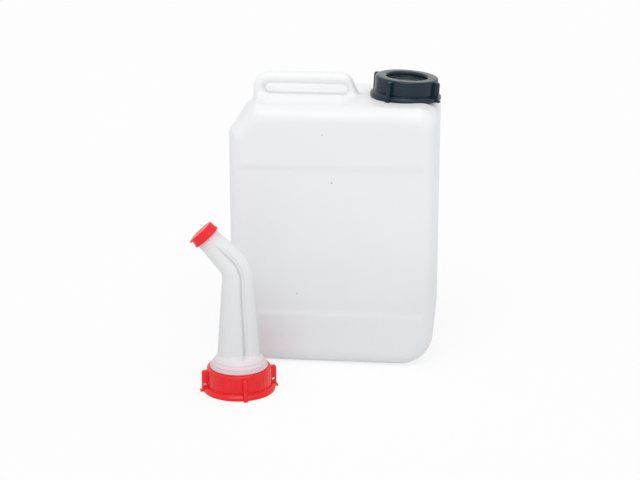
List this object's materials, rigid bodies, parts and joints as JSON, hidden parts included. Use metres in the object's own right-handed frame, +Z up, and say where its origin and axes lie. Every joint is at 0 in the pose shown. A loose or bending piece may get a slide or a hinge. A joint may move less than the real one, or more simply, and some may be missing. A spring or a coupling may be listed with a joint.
{
  "type": "water jerrycan",
  "caption": "Small flat water jerrycan with a moulded carry handle, a dark screw cap and its bent pouring spout standing beside it.",
  "frame": {"origin": "middle of the can's base, on the ground it stands on", "axes": "+Z up, +X towards the end with the neck, +Y from the front, where the spout stands, to the back"},
  "size_m": [0.2159, 0.2241, 0.2671],
  "materials": {
    "can_plastic": "satin milky white, slightly see-through",
    "cap_plastic": "satin slate grey",
    "spout_plastic": "satin milky white, slightly see-through",
    "red_plastic": "satin red",
    "seal_rubber": "matte black"
  },
  "bodies": {
    "can": {"can": "can_plastic", "spout_tube": "spout_plastic", "spout_seal": "seal_rubber"},
    "seal": {"cap_seal": "seal_rubber"},
    "cap": {"screw_cap": "cap_plastic"},
    "nut": {"ring_nut": "red_plastic"},
    "tip": {"tip_cap": "red_plastic"}
  },
  "joints": [
    {"name": "cap_rise", "type": "slide", "parent": "can", "child": "seal", "axis": [0.061, 0, 0.9981], "range_m": [0, 0.018]},
    {"name": "cap_turn", "type": "hinge", "parent": "seal", "child": "cap", "pos_m": [0.0635, 0, 0.2453], "axis": [0.061, 0, 0.9981], "range_deg": [0, 1081]},
    {"name": "nut_turn", "type": "hinge", "parent": "can", "child": "nut", "pos_m": [-0.077, -0.127, 0], "axis": [0, 0, 1], "continuous": true},
    {"name": "tip_cap_pull", "type": "slide", "parent": "can", "child": "tip", "axis": [-0.682, 0, 0.7314], "range_m": [0, 0.02]}
  ],
  "couplings": [
    {"joint": "cap_turn", "follows": "cap_rise", "rad_per_m": 1047.2}
  ]
}
